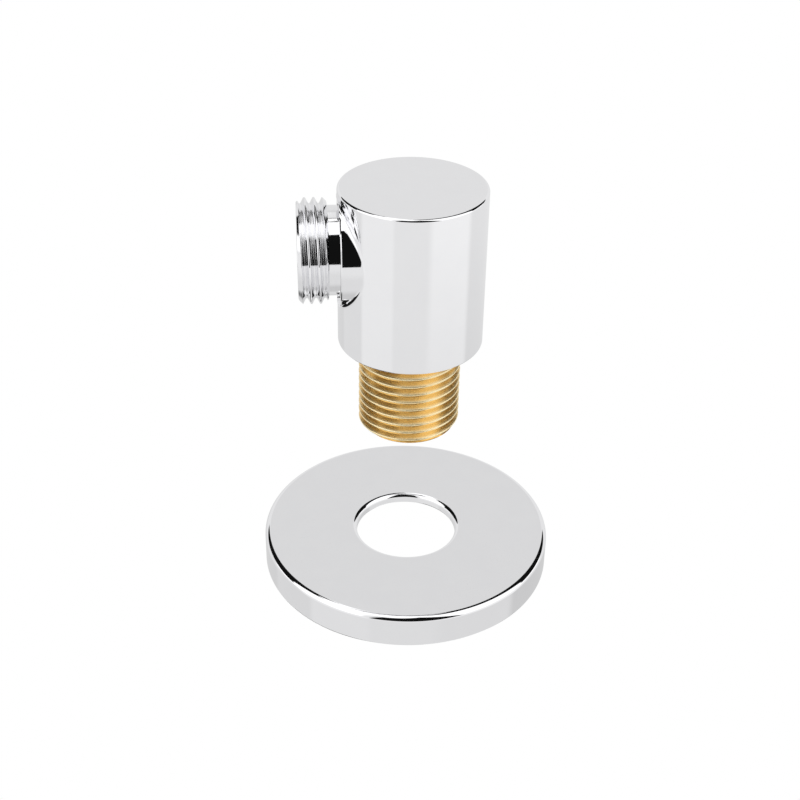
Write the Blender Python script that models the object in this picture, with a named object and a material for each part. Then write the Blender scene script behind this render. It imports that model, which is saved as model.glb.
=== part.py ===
"""Wall elbow for a shower hose, with its escutcheon hanging free below it.

Frame: metres, +Z up. The origin is the centre of the elbow's lower face, where the
inlet thread starts. The outlet points along -X, the inlet nipple points down.
"""

import math

import bmesh
import bpy
from mathutils import Matrix

# ---------------------------------------------------------------- driving sizes, metres
BODY_RADIUS = 0.0147
BODY_HEIGHT = 0.0332
BODY_TOP_EDGE = 0.0004
BODY_BOTTOM_EDGE = 0.0003

OUTLET_HEIGHT = 0.0201
BOSS_RADIUS = 0.0107
BOSS_END = 0.0144
NECK_RADIUS = 0.0088
OUTLET_THREAD_START = 0.0171
OUTLET_END = 0.0225

INLET_LENGTH = 0.0198
WATERWAY_RADIUS = 0.0060

# G 1/2 parallel pipe thread, right-handed
THREAD_PITCH = 0.025400 / 14
THREAD_RADIUS = 0.020955 / 2
THREAD_DEPTH = 0.640327 * THREAD_PITCH
FLANK_ANGLE = math.radians(27.5)
OUTLET_THREAD_RADIUS = THREAD_RADIUS - 0.0001
INLET_CHAMFER = 0.0010
OUTLET_CHAMFER_BACK = 0.0008
OUTLET_CHAMFER_FRONT = 0.0009

ESCUTCHEON_RADIUS = 0.0312
ESCUTCHEON_HEIGHT = 0.0074
ESCUTCHEON_TOP = -0.0484
ESCUTCHEON_HOLE_RADIUS = 0.0109
ESCUTCHEON_EDGE = 0.0010
ESCUTCHEON_COLLAR = 0.0022
SHEET = 0.0008
GASKET_WIDTH = 0.0030

# clearance between two pieces that touch on the real elbow
GAP = 0.0002
# how far a cutting solid reaches past the face that it cuts
OVERCUT = 0.0002
# small flat broken on a machined or moulded edge
CHAMFER = 0.0003

ROUND = 56
THREAD_STEPS = 32
SMALL_ROUND = 32
O_RING_ROUND = 24
SMOOTH_ANGLE = math.radians(35)

# ------------------------------------------------------------------- depths of the bores
INLET_SOCKET_RADIUS = 0.0089
INLET_SOCKET_DEPTH = 0.0087
INLET_SPIGOT_TOP = 0.0072
HEX_DEPTH = 0.0080
HEX_ACROSS_FLATS = 0.0124
CHAMBER_TOP = 0.0270
OUTLET_SOCKET_RADIUS = NECK_RADIUS + 1.2 * GAP
OUTLET_SOCKET_FLOOR = 0.0070
OUTLET_SPIGOT_END = 0.0085
OUTLET_BORE_RADIUS = 0.0056
OUTLET_BORE_START = 0.0010
BOSS_ROOT = 0.0085
CARTRIDGE_BORE_RADIUS = 0.0074
O_RING_WIRE = 0.0006
INLET_O_RING_RADIUS = 0.0075
OUTLET_O_RING_RADIUS = 0.0077
SHOULDER = 0.0008
CLIP_GROOVE_DEPTH = 0.00045

# ------------------------------------------ check valve, as distances from the body's axis
HOUSING_START = 0.0095
HOUSING_END = 0.0185
HOUSING_RADIUS = 0.0071
HOUSING_WALL_RADIUS = 0.0056
GROOVE_START = 0.0102
GROOVE_END = 0.0115
GROOVE_RADIUS = 0.00635
VALVE_O_RING_RADIUS = 0.00688
VALVE_O_RING_WIRE = 0.0004
SEAT_RADIUS = 0.0044
SEAT_START = 0.0104
SEAT_END = 0.0114
CAGE_LEDGE = 0.0169
CAGE_POCKET_RADIUS = 0.0061
HUB_START = 0.0166
HUB_RADIUS = 0.0019
CAGE_ARMS = 3
ARM_WIDTH = 0.0011
CAGE_RIM_WIDTH = 0.0010
STEM_RADIUS = 0.0008
POPPET_CHAMFER = 0.0002
DISC_RADIUS = 0.0050
DISC_START = 0.01195
DISC_END = 0.0127
NOSE_RADIUS = 0.0037
NOSE_START = 0.0099
NOSE_EDGE = 0.0111
SEAL_RADIUS = 0.00435
SEAL_PLACE = 0.01138
STEM_END = 0.0189
CLIP_START = 0.0188
CLIP_THICKNESS = 0.0006
CLIP_INNER_RADIUS = 0.0065
CLIP_OUTER_RADIUS = 0.0077
CLIP_OPENING = math.radians(50)
CLIP_STEPS = 28
SPRING_RADIUS = 0.0015
SPRING_WIRE = 0.00018
SPRING_TURNS = 3.25
SPRING_POINTS_PER_TURN = 14


# ----------------------------------------------------------------------------- materials
def material(name, colour, roughness, metallic):
    """A plain Principled material."""
    made = bpy.data.materials.new(name)
    made.use_nodes = True
    shader = made.node_tree.nodes["Principled BSDF"]
    shader.inputs["Base Color"].default_value = (*colour, 1.0)
    shader.inputs["Roughness"].default_value = roughness
    shader.inputs["Metallic"].default_value = metallic
    made.diffuse_color = (*colour, 1.0)
    return made


def all_materials():
    """Every material of the object, by its slot's name."""
    return {
        "chrome": material("chrome", (0.80, 0.80, 0.82), 0.05, 1.0),
        "brass": material("brass", (0.78, 0.56, 0.22), 0.25, 1.0),
        "rubber": material("rubber", (0.03, 0.03, 0.03), 0.7, 0.0),
        "foam": material("foam", (0.10, 0.10, 0.11), 0.95, 0.0),
        "housing_plastic": material("housing_plastic", (0.85, 0.86, 0.84), 0.4, 0.0),
        "valve_plastic": material("valve_plastic", (0.12, 0.30, 0.55), 0.4, 0.0),
        "spring_steel": material("spring_steel", (0.60, 0.60, 0.60), 0.3, 1.0),
    }


# ---------------------------------------------------------------------- shape primitives
def add_object(name, bm, finish, along_outlet=False):
    """Turn a bmesh into an object. With along_outlet its local +Z is laid along -X."""
    bmesh.ops.remove_doubles(bm, verts=bm.verts, dist=1e-7)
    bmesh.ops.recalc_face_normals(bm, faces=bm.faces)
    mesh = bpy.data.meshes.new(name)
    bm.to_mesh(mesh)
    bm.free()
    mesh.shade_smooth()
    mesh.set_sharp_from_angle(angle=SMOOTH_ANGLE)
    if finish:
        mesh.materials.append(finish)
    made = bpy.data.objects.new(name, mesh)
    bpy.context.scene.collection.objects.link(made)
    if along_outlet:
        made.rotation_euler = (0.0, -math.pi / 2, 0.0)
        made.location = (0.0, 0.0, OUTLET_HEIGHT)
    return made


def arc(centre_r, centre_z, radius, start, end, steps):
    """Points (r, z) of an arc, with angles in degrees from the +r direction."""
    angles = [math.radians(start + (end - start) * k / steps) for k in range(steps + 1)]
    return [(centre_r + radius * math.cos(a), centre_z + radius * math.sin(a)) for a in angles]


def turned(profile, steps, closed=True):
    """A bmesh made by turning (r, z) points about Z. An open profile ends on the axis."""
    bm = bmesh.new()
    corners = [bm.verts.new((r, 0.0, z)) for r, z in profile]
    count = len(corners) if closed else len(corners) - 1
    edges = [bm.edges.new((corners[k], corners[(k + 1) % len(corners)])) for k in range(count)]
    bmesh.ops.spin(
        bm,
        geom=corners + edges,
        cent=(0, 0, 0),
        axis=(0, 0, 1),
        angle=2 * math.pi,
        steps=steps,
        use_merge=True,
    )
    return bm


def ring_bm(major, wire, height, steps=O_RING_ROUND, sides=6):
    """A round rubber ring about Z, centred at the given height."""
    return turned(arc(major, height, wire, 0, 360 * (sides - 1) / sides, sides - 1), steps)


def cutter(name, bm, along_outlet=False):
    """A helper solid for a Boolean, left out of renders."""
    made = add_object(name, bm, None, along_outlet)
    made.hide_render = True
    made.display_type = "WIRE"
    return made


def combine(target, other, operation):
    """Add an exact Boolean of the other object to the target."""
    made = target.modifiers.new(f"{operation.lower()}_{other.name}", "BOOLEAN")
    made.operation = operation
    made.solver = "EXACT"
    made.object = other


# -------------------------------------------------------------------------------- threads
def thread_height(turns):
    """Thread height from 0 at the root to 1 at the crest, for a count of turns."""
    flank = THREAD_DEPTH * math.tan(FLANK_ANGLE) / THREAD_PITCH
    flat = 0.5 - flank
    away = abs(turns - round(turns))
    return min(1.0, max(0.0, 1.0 - (away - flat / 2) / flank))


def thread_rows():
    """Turns, within one pitch, at which the thread's outline has a corner."""
    flat = 0.5 - THREAD_DEPTH * math.tan(FLANK_ANGLE) / THREAD_PITCH
    return [flat / 2, 0.5 - flat / 2, 0.5 + flat / 2, 1 - flat / 2]


def threaded_tube(crest, low, high, inner, chamfer_low, chamfer_high):
    """A tube about Z whose outside is a right-hand thread between two heights.

    inner(angle) gives the rest of the cross-section at that angle: (r, z) points that go
    from the thread's high end down the inside to its low end. A chamfer is the depth that
    the cone at that end takes off the crest.
    """
    rows = thread_rows()
    per_turn = len(rows)
    last_row = (math.ceil((high - low) / THREAD_PITCH) + 3) * per_turn - 1

    def outside(angle, height):
        crest_height = thread_height((height - low) / THREAD_PITCH - angle / (2 * math.pi))
        radius = crest - THREAD_DEPTH * (1 - crest_height)
        radius = min(radius, crest - chamfer_low + (height - low))
        return min(radius, crest - chamfer_high + (high - height))

    # A row follows one corner of the thread round the tube. Rows past an end lie on it.
    bm = bmesh.new()
    columns = []
    for step in range(THREAD_STEPS):
        angle = 2 * math.pi * step / THREAD_STEPS
        column = []
        for row in range(last_row + 1):
            turn, corner = divmod(row, per_turn)
            lift = turn - 2 + rows[corner] + angle / (2 * math.pi)
            height = min(high, max(low, low + lift * THREAD_PITCH))
            column.append((outside(angle, height), height))
        column += inner(angle)
        points = [(r * math.cos(angle), r * math.sin(angle), z) for r, z in column]
        columns.append([bm.verts.new(point) for point in points])

    for step in range(THREAD_STEPS):
        left = columns[step]
        right = columns[(step + 1) % THREAD_STEPS]
        # one full turn on, the same row lies one pitch higher
        shift = per_turn if step == THREAD_STEPS - 1 else 0
        for row in range(last_row):
            near = right[min(last_row, row + shift)]
            far = right[min(last_row, row + shift + 1)]
            corners = [left[row], left[row + 1], far, near]
            bm.faces.new(corners if far is not near else corners[:3])
        for row in range(last_row, len(left)):
            following = (row + 1) % len(left)
            bm.faces.new((left[row], left[following], right[following], right[row]))
    return bm


# ------------------------------------------------------------------------- elbow's pieces
def elbow_body(finish):
    """Round body with a flat top, a bored chamber and a spot-faced boss for the outlet."""
    profile = [(0.0, BODY_HEIGHT)]
    profile += arc(
        BODY_RADIUS - BODY_TOP_EDGE, BODY_HEIGHT - BODY_TOP_EDGE, BODY_TOP_EDGE, 90, 0, 3
    )
    profile += arc(BODY_RADIUS - BODY_BOTTOM_EDGE, BODY_BOTTOM_EDGE, BODY_BOTTOM_EDGE, 0, -90, 2)
    profile += [
        (INLET_SOCKET_RADIUS, 0.0),
        (INLET_SOCKET_RADIUS, INLET_SOCKET_DEPTH),
        (WATERWAY_RADIUS, INLET_SOCKET_DEPTH),
        (WATERWAY_RADIUS, CHAMBER_TOP),
        (0.0, CHAMBER_TOP),
    ]
    body = add_object("elbow_body", turned(profile, ROUND, closed=False), finish)

    boss_raw_end = BOSS_END + OVERCUT
    boss_profile = [
        (0.0, boss_raw_end),
        (BOSS_RADIUS, boss_raw_end),
        (BOSS_RADIUS, BOSS_ROOT),
        (0.0, BOSS_ROOT),
    ]
    boss = cutter("boss_block", turned(boss_profile, ROUND, closed=False), True)
    combine(body, boss, "UNION")

    far = BODY_RADIUS + OVERCUT
    face_radius = BOSS_RADIUS + OVERCUT
    face_profile = [(0.0, far), (face_radius, far), (face_radius, BOSS_END), (0.0, BOSS_END)]
    spot_face = cutter("spot_face_cutter", turned(face_profile, ROUND, closed=False), True)
    combine(body, spot_face, "DIFFERENCE")

    bore_profile = [
        (0.0, far),
        (OUTLET_SOCKET_RADIUS, far),
        (OUTLET_SOCKET_RADIUS, OUTLET_SOCKET_FLOOR),
        (OUTLET_BORE_RADIUS, OUTLET_SOCKET_FLOOR),
        (OUTLET_BORE_RADIUS, OUTLET_BORE_START),
        (0.0, OUTLET_BORE_START),
    ]
    bore = cutter("outlet_bore_cutter", turned(bore_profile, ROUND, closed=False), True)
    combine(body, bore, "DIFFERENCE")


def inlet_nipple(finish):
    """Brass nipple: a spigot held in the body and a G 1/2 thread with a hexagon socket."""
    spigot = INLET_SOCKET_RADIUS - 1.5 * GAP
    hex_top = -INLET_LENGTH + HEX_DEPTH

    def inner(angle):
        sixth = math.pi / 3
        off_flat = (angle % sixth) - sixth / 2
        hex_radius = HEX_ACROSS_FLATS / 2 / math.cos(off_flat)
        return [
            (spigot, -GAP),
            (spigot, INLET_SPIGOT_TOP),
            (WATERWAY_RADIUS, INLET_SPIGOT_TOP),
            (WATERWAY_RADIUS, hex_top),
            (hex_radius, hex_top),
            (hex_radius, -INLET_LENGTH),
        ]

    tube = threaded_tube(THREAD_RADIUS, -INLET_LENGTH, -GAP, inner, INLET_CHAMFER, 0.0)
    add_object("inlet_nipple", tube, finish)


def inlet_o_ring(finish):
    """Rubber ring squeezed between the nipple's spigot and the socket's floor."""
    height = (INLET_SPIGOT_TOP + INLET_SOCKET_DEPTH) / 2
    add_object("inlet_o_ring", ring_bm(INLET_O_RING_RADIUS, O_RING_WIRE, height), finish)


def outlet_nipple(finish):
    """Chromed nipple: a plain neck held in the boss and a short G 1/2 hose thread."""
    groove_low = CLIP_START - GAP / 2
    groove_high = CLIP_START + CLIP_THICKNESS + GAP / 2
    groove_radius = CARTRIDGE_BORE_RADIUS + CLIP_GROOVE_DEPTH
    bore = CARTRIDGE_BORE_RADIUS

    def inner(_angle):
        return [
            (bore + CHAMFER, OUTLET_END),
            (bore, OUTLET_END - CHAMFER),
            (bore, groove_high),
            (groove_radius, groove_high),
            (groove_radius, groove_low),
            (bore, groove_low),
            (bore, OUTLET_SPIGOT_END + SHOULDER),
            (WATERWAY_RADIUS, OUTLET_SPIGOT_END + SHOULDER),
            (WATERWAY_RADIUS, OUTLET_SPIGOT_END),
            (NECK_RADIUS, OUTLET_SPIGOT_END),
            (NECK_RADIUS, OUTLET_THREAD_START),
        ]

    tube = threaded_tube(
        OUTLET_THREAD_RADIUS,
        OUTLET_THREAD_START,
        OUTLET_END,
        inner,
        OUTLET_CHAMFER_BACK,
        OUTLET_CHAMFER_FRONT,
    )
    add_object("outlet_nipple", tube, finish, True)


def outlet_o_ring(finish):
    """Rubber ring between the outlet nipple's end and the floor of its socket."""
    height = (OUTLET_SOCKET_FLOOR + OUTLET_SPIGOT_END) / 2
    add_object("outlet_o_ring", ring_bm(OUTLET_O_RING_RADIUS, O_RING_WIRE, height), finish, True)


# --------------------------------------------------------------------------- check valve
def check_valve_housing(finish):
    """Plastic sleeve with a cone seat, a groove for its O-ring and a pocket for the cage."""
    profile = [
        (HOUSING_RADIUS, HOUSING_END),
        (CAGE_POCKET_RADIUS, HOUSING_END),
        (CAGE_POCKET_RADIUS, CAGE_LEDGE),
        (HOUSING_WALL_RADIUS, CAGE_LEDGE),
        (HOUSING_WALL_RADIUS, SEAT_END),
        (SEAT_RADIUS, SEAT_START),
        (SEAT_RADIUS + CHAMFER, HOUSING_START),
        (HOUSING_RADIUS - CHAMFER, HOUSING_START),
        (HOUSING_RADIUS, HOUSING_START + CHAMFER),
        (HOUSING_RADIUS, GROOVE_START),
        (GROOVE_RADIUS, GROOVE_START),
        (GROOVE_RADIUS, GROOVE_END),
        (HOUSING_RADIUS, GROOVE_END),
    ]
    add_object("check_valve_housing", turned(profile, SMALL_ROUND), finish, True)


def check_valve_o_ring(finish):
    """Rubber ring in the housing's groove, against the outlet nipple's bore."""
    middle = (GROOVE_START + GROOVE_END) / 2
    rubber = ring_bm(VALVE_O_RING_RADIUS, VALVE_O_RING_WIRE, middle)
    add_object("check_valve_o_ring", rubber, finish, True)


def check_valve_cage(finish):
    """Spoked guide that closes the housing and steers the poppet's stem."""
    low = CAGE_LEDGE + GAP
    high = HOUSING_END - GAP
    rim = CAGE_POCKET_RADIUS - GAP
    rim_inside = rim - CAGE_RIM_WIDTH
    rim_profile = [(rim, high), (rim_inside, high), (rim_inside, low), (rim, low)]
    cage = add_object("check_valve_cage", turned(rim_profile, SMALL_ROUND), finish, True)

    hole = STEM_RADIUS + GAP
    hub_profile = [(HUB_RADIUS, high), (hole, high), (hole, HUB_START), (HUB_RADIUS, HUB_START)]
    hub = cutter("cage_hub", turned(hub_profile, 20), True)
    combine(cage, hub, "UNION")

    inside = (hole + HUB_RADIUS) / 2
    outside = rim - CAGE_RIM_WIDTH / 2
    thickness = high - low - 2 * GAP
    for number in range(CAGE_ARMS):
        bm = bmesh.new()
        bmesh.ops.create_cube(bm, size=1.0)
        bmesh.ops.scale(bm, vec=(outside - inside, ARM_WIDTH, thickness), verts=bm.verts)
        middle = ((outside + inside) / 2, 0.0, (low + high) / 2)
        bmesh.ops.translate(bm, vec=middle, verts=bm.verts)
        turn = Matrix.Rotation(2 * math.pi * number / CAGE_ARMS, 3, "Z")
        bmesh.ops.rotate(bm, cent=(0, 0, 0), matrix=turn, verts=bm.verts)
        arm = cutter(f"cage_arm_{number + 1}", bm, True)
        combine(cage, arm, "UNION")


def check_valve_poppet(finish):
    """Poppet with a blunt nose, a disc that carries the seal, and a guide stem."""
    profile = [
        (0.0, STEM_END),
        (STEM_RADIUS - POPPET_CHAMFER, STEM_END),
        (STEM_RADIUS, STEM_END - POPPET_CHAMFER),
        (STEM_RADIUS, DISC_END),
        (DISC_RADIUS - POPPET_CHAMFER, DISC_END),
        (DISC_RADIUS, DISC_END - POPPET_CHAMFER),
        (DISC_RADIUS, DISC_START),
        (NOSE_RADIUS, DISC_START),
        (NOSE_RADIUS, NOSE_EDGE),
        (0.8 * NOSE_RADIUS, NOSE_START + 2 * POPPET_CHAMFER),
        (0.4 * NOSE_RADIUS, NOSE_START),
        (0.0, NOSE_START),
    ]
    add_object("check_valve_poppet", turned(profile, SMALL_ROUND, closed=False), finish, True)


def poppet_seal(finish):
    """Rubber ring round the poppet's nose that closes on the housing's cone."""
    rubber = ring_bm(SEAL_RADIUS, VALVE_O_RING_WIRE, SEAL_PLACE)
    add_object("poppet_seal", rubber, finish, True)


def poppet_spring(finish):
    """Small coil spring between the poppet's disc and the cage's hub."""
    low = DISC_END + SPRING_WIRE + GAP / 2
    high = HUB_START - SPRING_WIRE - GAP / 2
    count = int(SPRING_TURNS * SPRING_POINTS_PER_TURN)
    path = bpy.data.curves.new("poppet_spring", "CURVE")
    path.dimensions = "3D"
    path.bevel_depth = SPRING_WIRE
    path.bevel_resolution = 1
    path.use_fill_caps = True
    line = path.splines.new("POLY")
    line.points.add(count)
    for number, point in enumerate(line.points):
        share = number / count
        angle = 2 * math.pi * SPRING_TURNS * share
        x = SPRING_RADIUS * math.cos(angle)
        y = SPRING_RADIUS * math.sin(angle)
        point.co = (x, y, low + (high - low) * share, 1.0)
    path.materials.append(finish)
    spring = bpy.data.objects.new("poppet_spring", path)
    spring.rotation_euler = (0.0, -math.pi / 2, 0.0)
    spring.location = (0.0, 0.0, OUTLET_HEIGHT)
    bpy.context.scene.collection.objects.link(spring)


def check_valve_clip(finish):
    """Open spring ring in the outlet's bore that keeps the cartridge in place."""
    low = CLIP_START
    high = CLIP_START + CLIP_THICKNESS
    corners = [
        (CLIP_INNER_RADIUS, low),
        (CLIP_OUTER_RADIUS, low),
        (CLIP_OUTER_RADIUS, high),
        (CLIP_INNER_RADIUS, high),
    ]
    bm = bmesh.new()
    end = bm.faces.new([bm.verts.new((r, 0.0, z)) for r, z in corners])
    half_turn = Matrix.Rotation(CLIP_OPENING / 2, 3, "Z")
    bmesh.ops.rotate(bm, cent=(0, 0, 0), matrix=half_turn, verts=bm.verts)
    bmesh.ops.spin(
        bm,
        geom=list(end.verts) + list(end.edges) + [end],
        cent=(0, 0, 0),
        axis=(0, 0, 1),
        angle=2 * math.pi - CLIP_OPENING,
        steps=CLIP_STEPS,
    )
    add_object("check_valve_clip", bm, finish, True)


# ---------------------------------------------------------------------------- escutcheon
def escutcheon(finish):
    """Pressed cup: flat top, rolled outer edge and skirt, and a hole turned down inward."""
    top = ESCUTCHEON_TOP
    back = top - ESCUTCHEON_HEIGHT
    hole = ESCUTCHEON_HOLE_RADIUS
    edge = ESCUTCHEON_EDGE
    inside = edge - SHEET
    collar = top - ESCUTCHEON_COLLAR
    rim = ESCUTCHEON_RADIUS
    profile = arc(rim - edge, top - edge, edge, 90, 0, 5)
    profile += [(rim, back), (rim - SHEET, back)]
    profile += arc(rim - edge, top - edge, inside, 0, 90, 2)
    profile += arc(hole + edge, top - edge, inside, 90, 180, 2)
    profile += [(hole + SHEET, collar), (hole, collar)]
    profile += arc(hole + edge, top - edge, edge, 180, 90, 5)
    add_object("escutcheon", turned(profile, ROUND), finish)


def escutcheon_gasket(finish):
    """Foam ring inside the skirt that seals the escutcheon to the wall."""
    high = ESCUTCHEON_TOP - SHEET - GAP
    low = ESCUTCHEON_TOP - ESCUTCHEON_HEIGHT + GAP
    outer = ESCUTCHEON_RADIUS - ESCUTCHEON_EDGE - GAP
    inner = outer - GASKET_WIDTH
    profile = [(outer, high), (outer, low), (inner, low), (inner, high)]
    add_object("escutcheon_gasket", turned(profile, ROUND), finish)


# ------------------------------------------------------------------------------- assembly
def main():
    """Clear the scene, then make every piece."""
    for old in list(bpy.data.objects):
        bpy.data.objects.remove(old)
    finish = all_materials()
    elbow_body(finish["chrome"])
    inlet_nipple(finish["brass"])
    inlet_o_ring(finish["rubber"])
    outlet_nipple(finish["chrome"])
    outlet_o_ring(finish["rubber"])
    check_valve_housing(finish["housing_plastic"])
    check_valve_o_ring(finish["rubber"])
    check_valve_cage(finish["valve_plastic"])
    check_valve_poppet(finish["valve_plastic"])
    poppet_seal(finish["rubber"])
    poppet_spring(finish["spring_steel"])
    check_valve_clip(finish["spring_steel"])
    escutcheon(finish["chrome"])
    escutcheon_gasket(finish["foam"])


main()
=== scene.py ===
"""Looks of a shower-hose wall elbow and its loose escutcheon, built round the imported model.

Metres, +Z up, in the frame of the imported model: the origin is the centre of the body's
lower face, the outlet points along -X and the inlet nipple points down.
"""

import math

import bmesh
import bpy
from mathutils import Matrix, Vector


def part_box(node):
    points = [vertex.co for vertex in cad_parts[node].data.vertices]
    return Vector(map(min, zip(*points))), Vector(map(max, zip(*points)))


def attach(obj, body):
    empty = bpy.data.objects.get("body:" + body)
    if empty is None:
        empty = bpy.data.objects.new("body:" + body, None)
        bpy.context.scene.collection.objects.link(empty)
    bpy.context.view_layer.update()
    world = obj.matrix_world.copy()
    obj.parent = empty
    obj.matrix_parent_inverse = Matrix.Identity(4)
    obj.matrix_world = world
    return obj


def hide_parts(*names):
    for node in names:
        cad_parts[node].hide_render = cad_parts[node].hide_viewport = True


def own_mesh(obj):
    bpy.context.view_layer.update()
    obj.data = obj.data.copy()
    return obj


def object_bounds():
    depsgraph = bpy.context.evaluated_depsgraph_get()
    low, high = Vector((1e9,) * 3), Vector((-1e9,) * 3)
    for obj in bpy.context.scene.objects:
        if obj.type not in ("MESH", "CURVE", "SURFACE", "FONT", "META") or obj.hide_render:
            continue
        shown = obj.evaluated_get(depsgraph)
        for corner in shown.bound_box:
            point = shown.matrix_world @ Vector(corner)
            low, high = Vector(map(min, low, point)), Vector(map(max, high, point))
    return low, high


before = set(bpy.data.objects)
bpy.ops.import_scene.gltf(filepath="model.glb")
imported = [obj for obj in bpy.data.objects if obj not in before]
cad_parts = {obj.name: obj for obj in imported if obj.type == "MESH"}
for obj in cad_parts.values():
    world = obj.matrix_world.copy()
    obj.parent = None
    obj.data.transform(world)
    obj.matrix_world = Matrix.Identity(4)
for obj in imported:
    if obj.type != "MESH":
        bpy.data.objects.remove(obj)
CAD_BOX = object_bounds()

# ------------------------------------------------------------- places read from the frame
BODY_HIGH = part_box("elbow_body")[1]
OUTLET_LOW, OUTLET_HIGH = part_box("outlet_nipple")
INLET_LOW, INLET_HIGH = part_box("inlet_nipple")
ROSE_LOW, ROSE_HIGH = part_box("escutcheon")
GASKET_LOW, GASKET_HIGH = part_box("escutcheon_gasket")
HOUSING_LOW, HOUSING_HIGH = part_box("check_valve_housing")
CAGE_LOW, CAGE_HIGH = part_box("check_valve_cage")
CLIP_LOW, CLIP_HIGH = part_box("check_valve_clip")
POPPET_LOW, POPPET_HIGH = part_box("check_valve_poppet")
OUTLET_Z = (OUTLET_LOW.z + OUTLET_HIGH.z) / 2
# from a piece made about +Z to its place on the outlet's axis, with its +Z along -X
ON_OUTLET = Matrix.Translation((0, 0, OUTLET_Z)) @ Matrix.Rotation(-math.pi / 2, 4, "Y")

# --------------------------------------------------------------------------- body, metres
BODY_RADIUS = BODY_HIGH.x
BODY_TOP = BODY_HIGH.z
BODY_TOP_EDGE = 0.0005
BODY_BOTTOM_EDGE = 0.0003
SOCKET_RADIUS = 0.0089
SOCKET_DEPTH = 0.0087
WATERWAY_RADIUS = 0.0060
CHAMBER_TOP = 0.0270

BOSS_RADIUS = 0.0107
BOSS_END = 0.0144
BOSS_JOINT = 0.0012
BOSS_CHAMFER = 0.0002
SPOT_FACE_RADIUS = BOSS_RADIUS + 0.00075
OUTLET_SOCKET_RADIUS = 0.00904
OUTLET_SOCKET_FLOOR = 0.0070
OUTLET_BORE_RADIUS = 0.0056

# ------------------------------------------------------------------ threads and nipples
THREAD_PITCH = 0.0254 / 14
THREAD_DEPTH = 0.640327 * THREAD_PITCH
THREAD_ROUNDING = 0.137329 * THREAD_PITCH
FLANK_ANGLE = math.radians(27.5)
INLET_THREAD_TOP = -0.0002
INLET_SPIGOT_RADIUS = 0.0086
INLET_CHAMFER = 0.0010
INLET_RELIEF = 0.0007
HEX_DEPTH = 0.0080
HEX_ACROSS_FLATS = 0.0124
NECK_RADIUS = 0.0088
OUTLET_THREAD_START = 0.0166
OUTLET_CREST = 0.0171
OUTLET_CHAMFER_BACK = 0.0008
OUTLET_CHAMFER_FRONT = 0.0009
CARTRIDGE_BORE_RADIUS = 0.0074
CLIP_GROOVE_DEPTH = 0.00045
SHOULDER = 0.0008

# ------------------------------------------------------------------------- escutcheon
ROSE_RADIUS = ROSE_HIGH.x
ROSE_TOP_EDGE = 0.0011
ROSE_HOLE_EDGE = 0.0009
ROSE_HOLE_RADIUS = 0.0109
ROSE_COLLAR = 0.0022
SHEET = 0.0008
ROLLED_EDGE = 0.0003

# --------------------------------------------------------- fineness of the turned meshes
TURNED_STEPS = 240
THREAD_STEPS = 180
ARC_STEPS = 10
SHARP_ANGLE = math.radians(30)
WIRE_SHARP_ANGLE = math.radians(50)
FACING = "facing"


# ---------------------------------------------------------------------- mesh primitives
def straight(start, end):
    """Stroke of a turned outline: two (r, z) points, with the normal on the left."""
    dr = end[0] - start[0]
    dz = end[1] - start[1]
    length = math.hypot(dr, dz)
    normal = (-dz / length, dr / length)
    return [(*start, *normal), (*end, *normal)]


def rounded(centre, radius, first, last, steps=ARC_STEPS):
    """Stroke of a turned outline: an arc between two angles in degrees from +r."""
    side = 1 if last < first else -1
    stroke = []
    for step in range(steps + 1):
        angle = math.radians(first + (last - first) * step / steps)
        nr = math.cos(angle)
        nz = math.sin(angle)
        point = (centre[0] + radius * nr, centre[1] + radius * nz)
        stroke.append((*point, side * nr, side * nz))
    return stroke


def outline(points, edge=0.0):
    """Strokes round a closed outline of (r, z) points. Each corner gets a small fillet."""
    corners = [Vector(point) for point in points]
    count = len(corners)
    strokes = []
    ends = []
    for number, corner in enumerate(corners):
        back = (corners[number - 1] - corner).normalized()
        on = (corners[(number + 1) % count] - corner).normalized()
        half = back.angle(on) / 2
        reach = edge / math.tan(half)
        centre = corner + (back + on).normalized() * (edge / math.sin(half))
        start = corner + back * reach
        end = corner + on * reach
        ends.append((start, end))
        if edge:
            first = math.degrees(math.atan2(start.y - centre.y, start.x - centre.x))
            last = math.degrees(math.atan2(end.y - centre.y, end.x - centre.x))
            turn = (last - first + 180) % 360 - 180
            strokes.append(rounded(centre, edge, first, first + turn, 4))
    for number in range(count):
        start = ends[number][1]
        end = ends[(number + 1) % count][0]
        strokes.append(straight(tuple(start), tuple(end)))
    return strokes


def new_skin():
    """An empty bmesh whose face corners can hold the exact normal of the surface."""
    bm = bmesh.new()
    bm.loops.layers.float_vector.new(FACING)
    return bm


def add_grid(bm, rows, closed=False):
    """Add quads between rows of (point, normal) pairs. A normal may be None."""
    facing = bm.loops.layers.float_vector[FACING]
    placed = [[bm.verts.new(point) for point, _normal in row] for row in rows]
    columns = len(rows[0])
    for upper in range(len(rows) - 1):
        lower = upper + 1
        for left in range(columns if closed else columns - 1):
            right = (left + 1) % columns
            places = [(upper, left), (lower, left), (lower, right), (upper, right)]
            face = bm.faces.new([placed[row][column] for row, column in places])
            face.smooth = True
            for loop, (row, column) in zip(face.loops, places):
                loop[facing] = rows[row][column][1] or (0, 0, 0)


def turn(bm, strokes, steps=TURNED_STEPS):
    """Turn strokes of (r, z, normal r, normal z) about Z."""
    angles = [2 * math.pi * step / steps for step in range(steps)]
    for stroke in strokes:
        rows = []
        for r, z, nr, nz in stroke:
            row = []
            for angle in angles:
                c = math.cos(angle)
                s = math.sin(angle)
                row.append(((r * c, r * s, z), (nr * c, nr * s, nz)))
            rows.append(row)
        add_grid(bm, rows, closed=True)
    return bm


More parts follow.
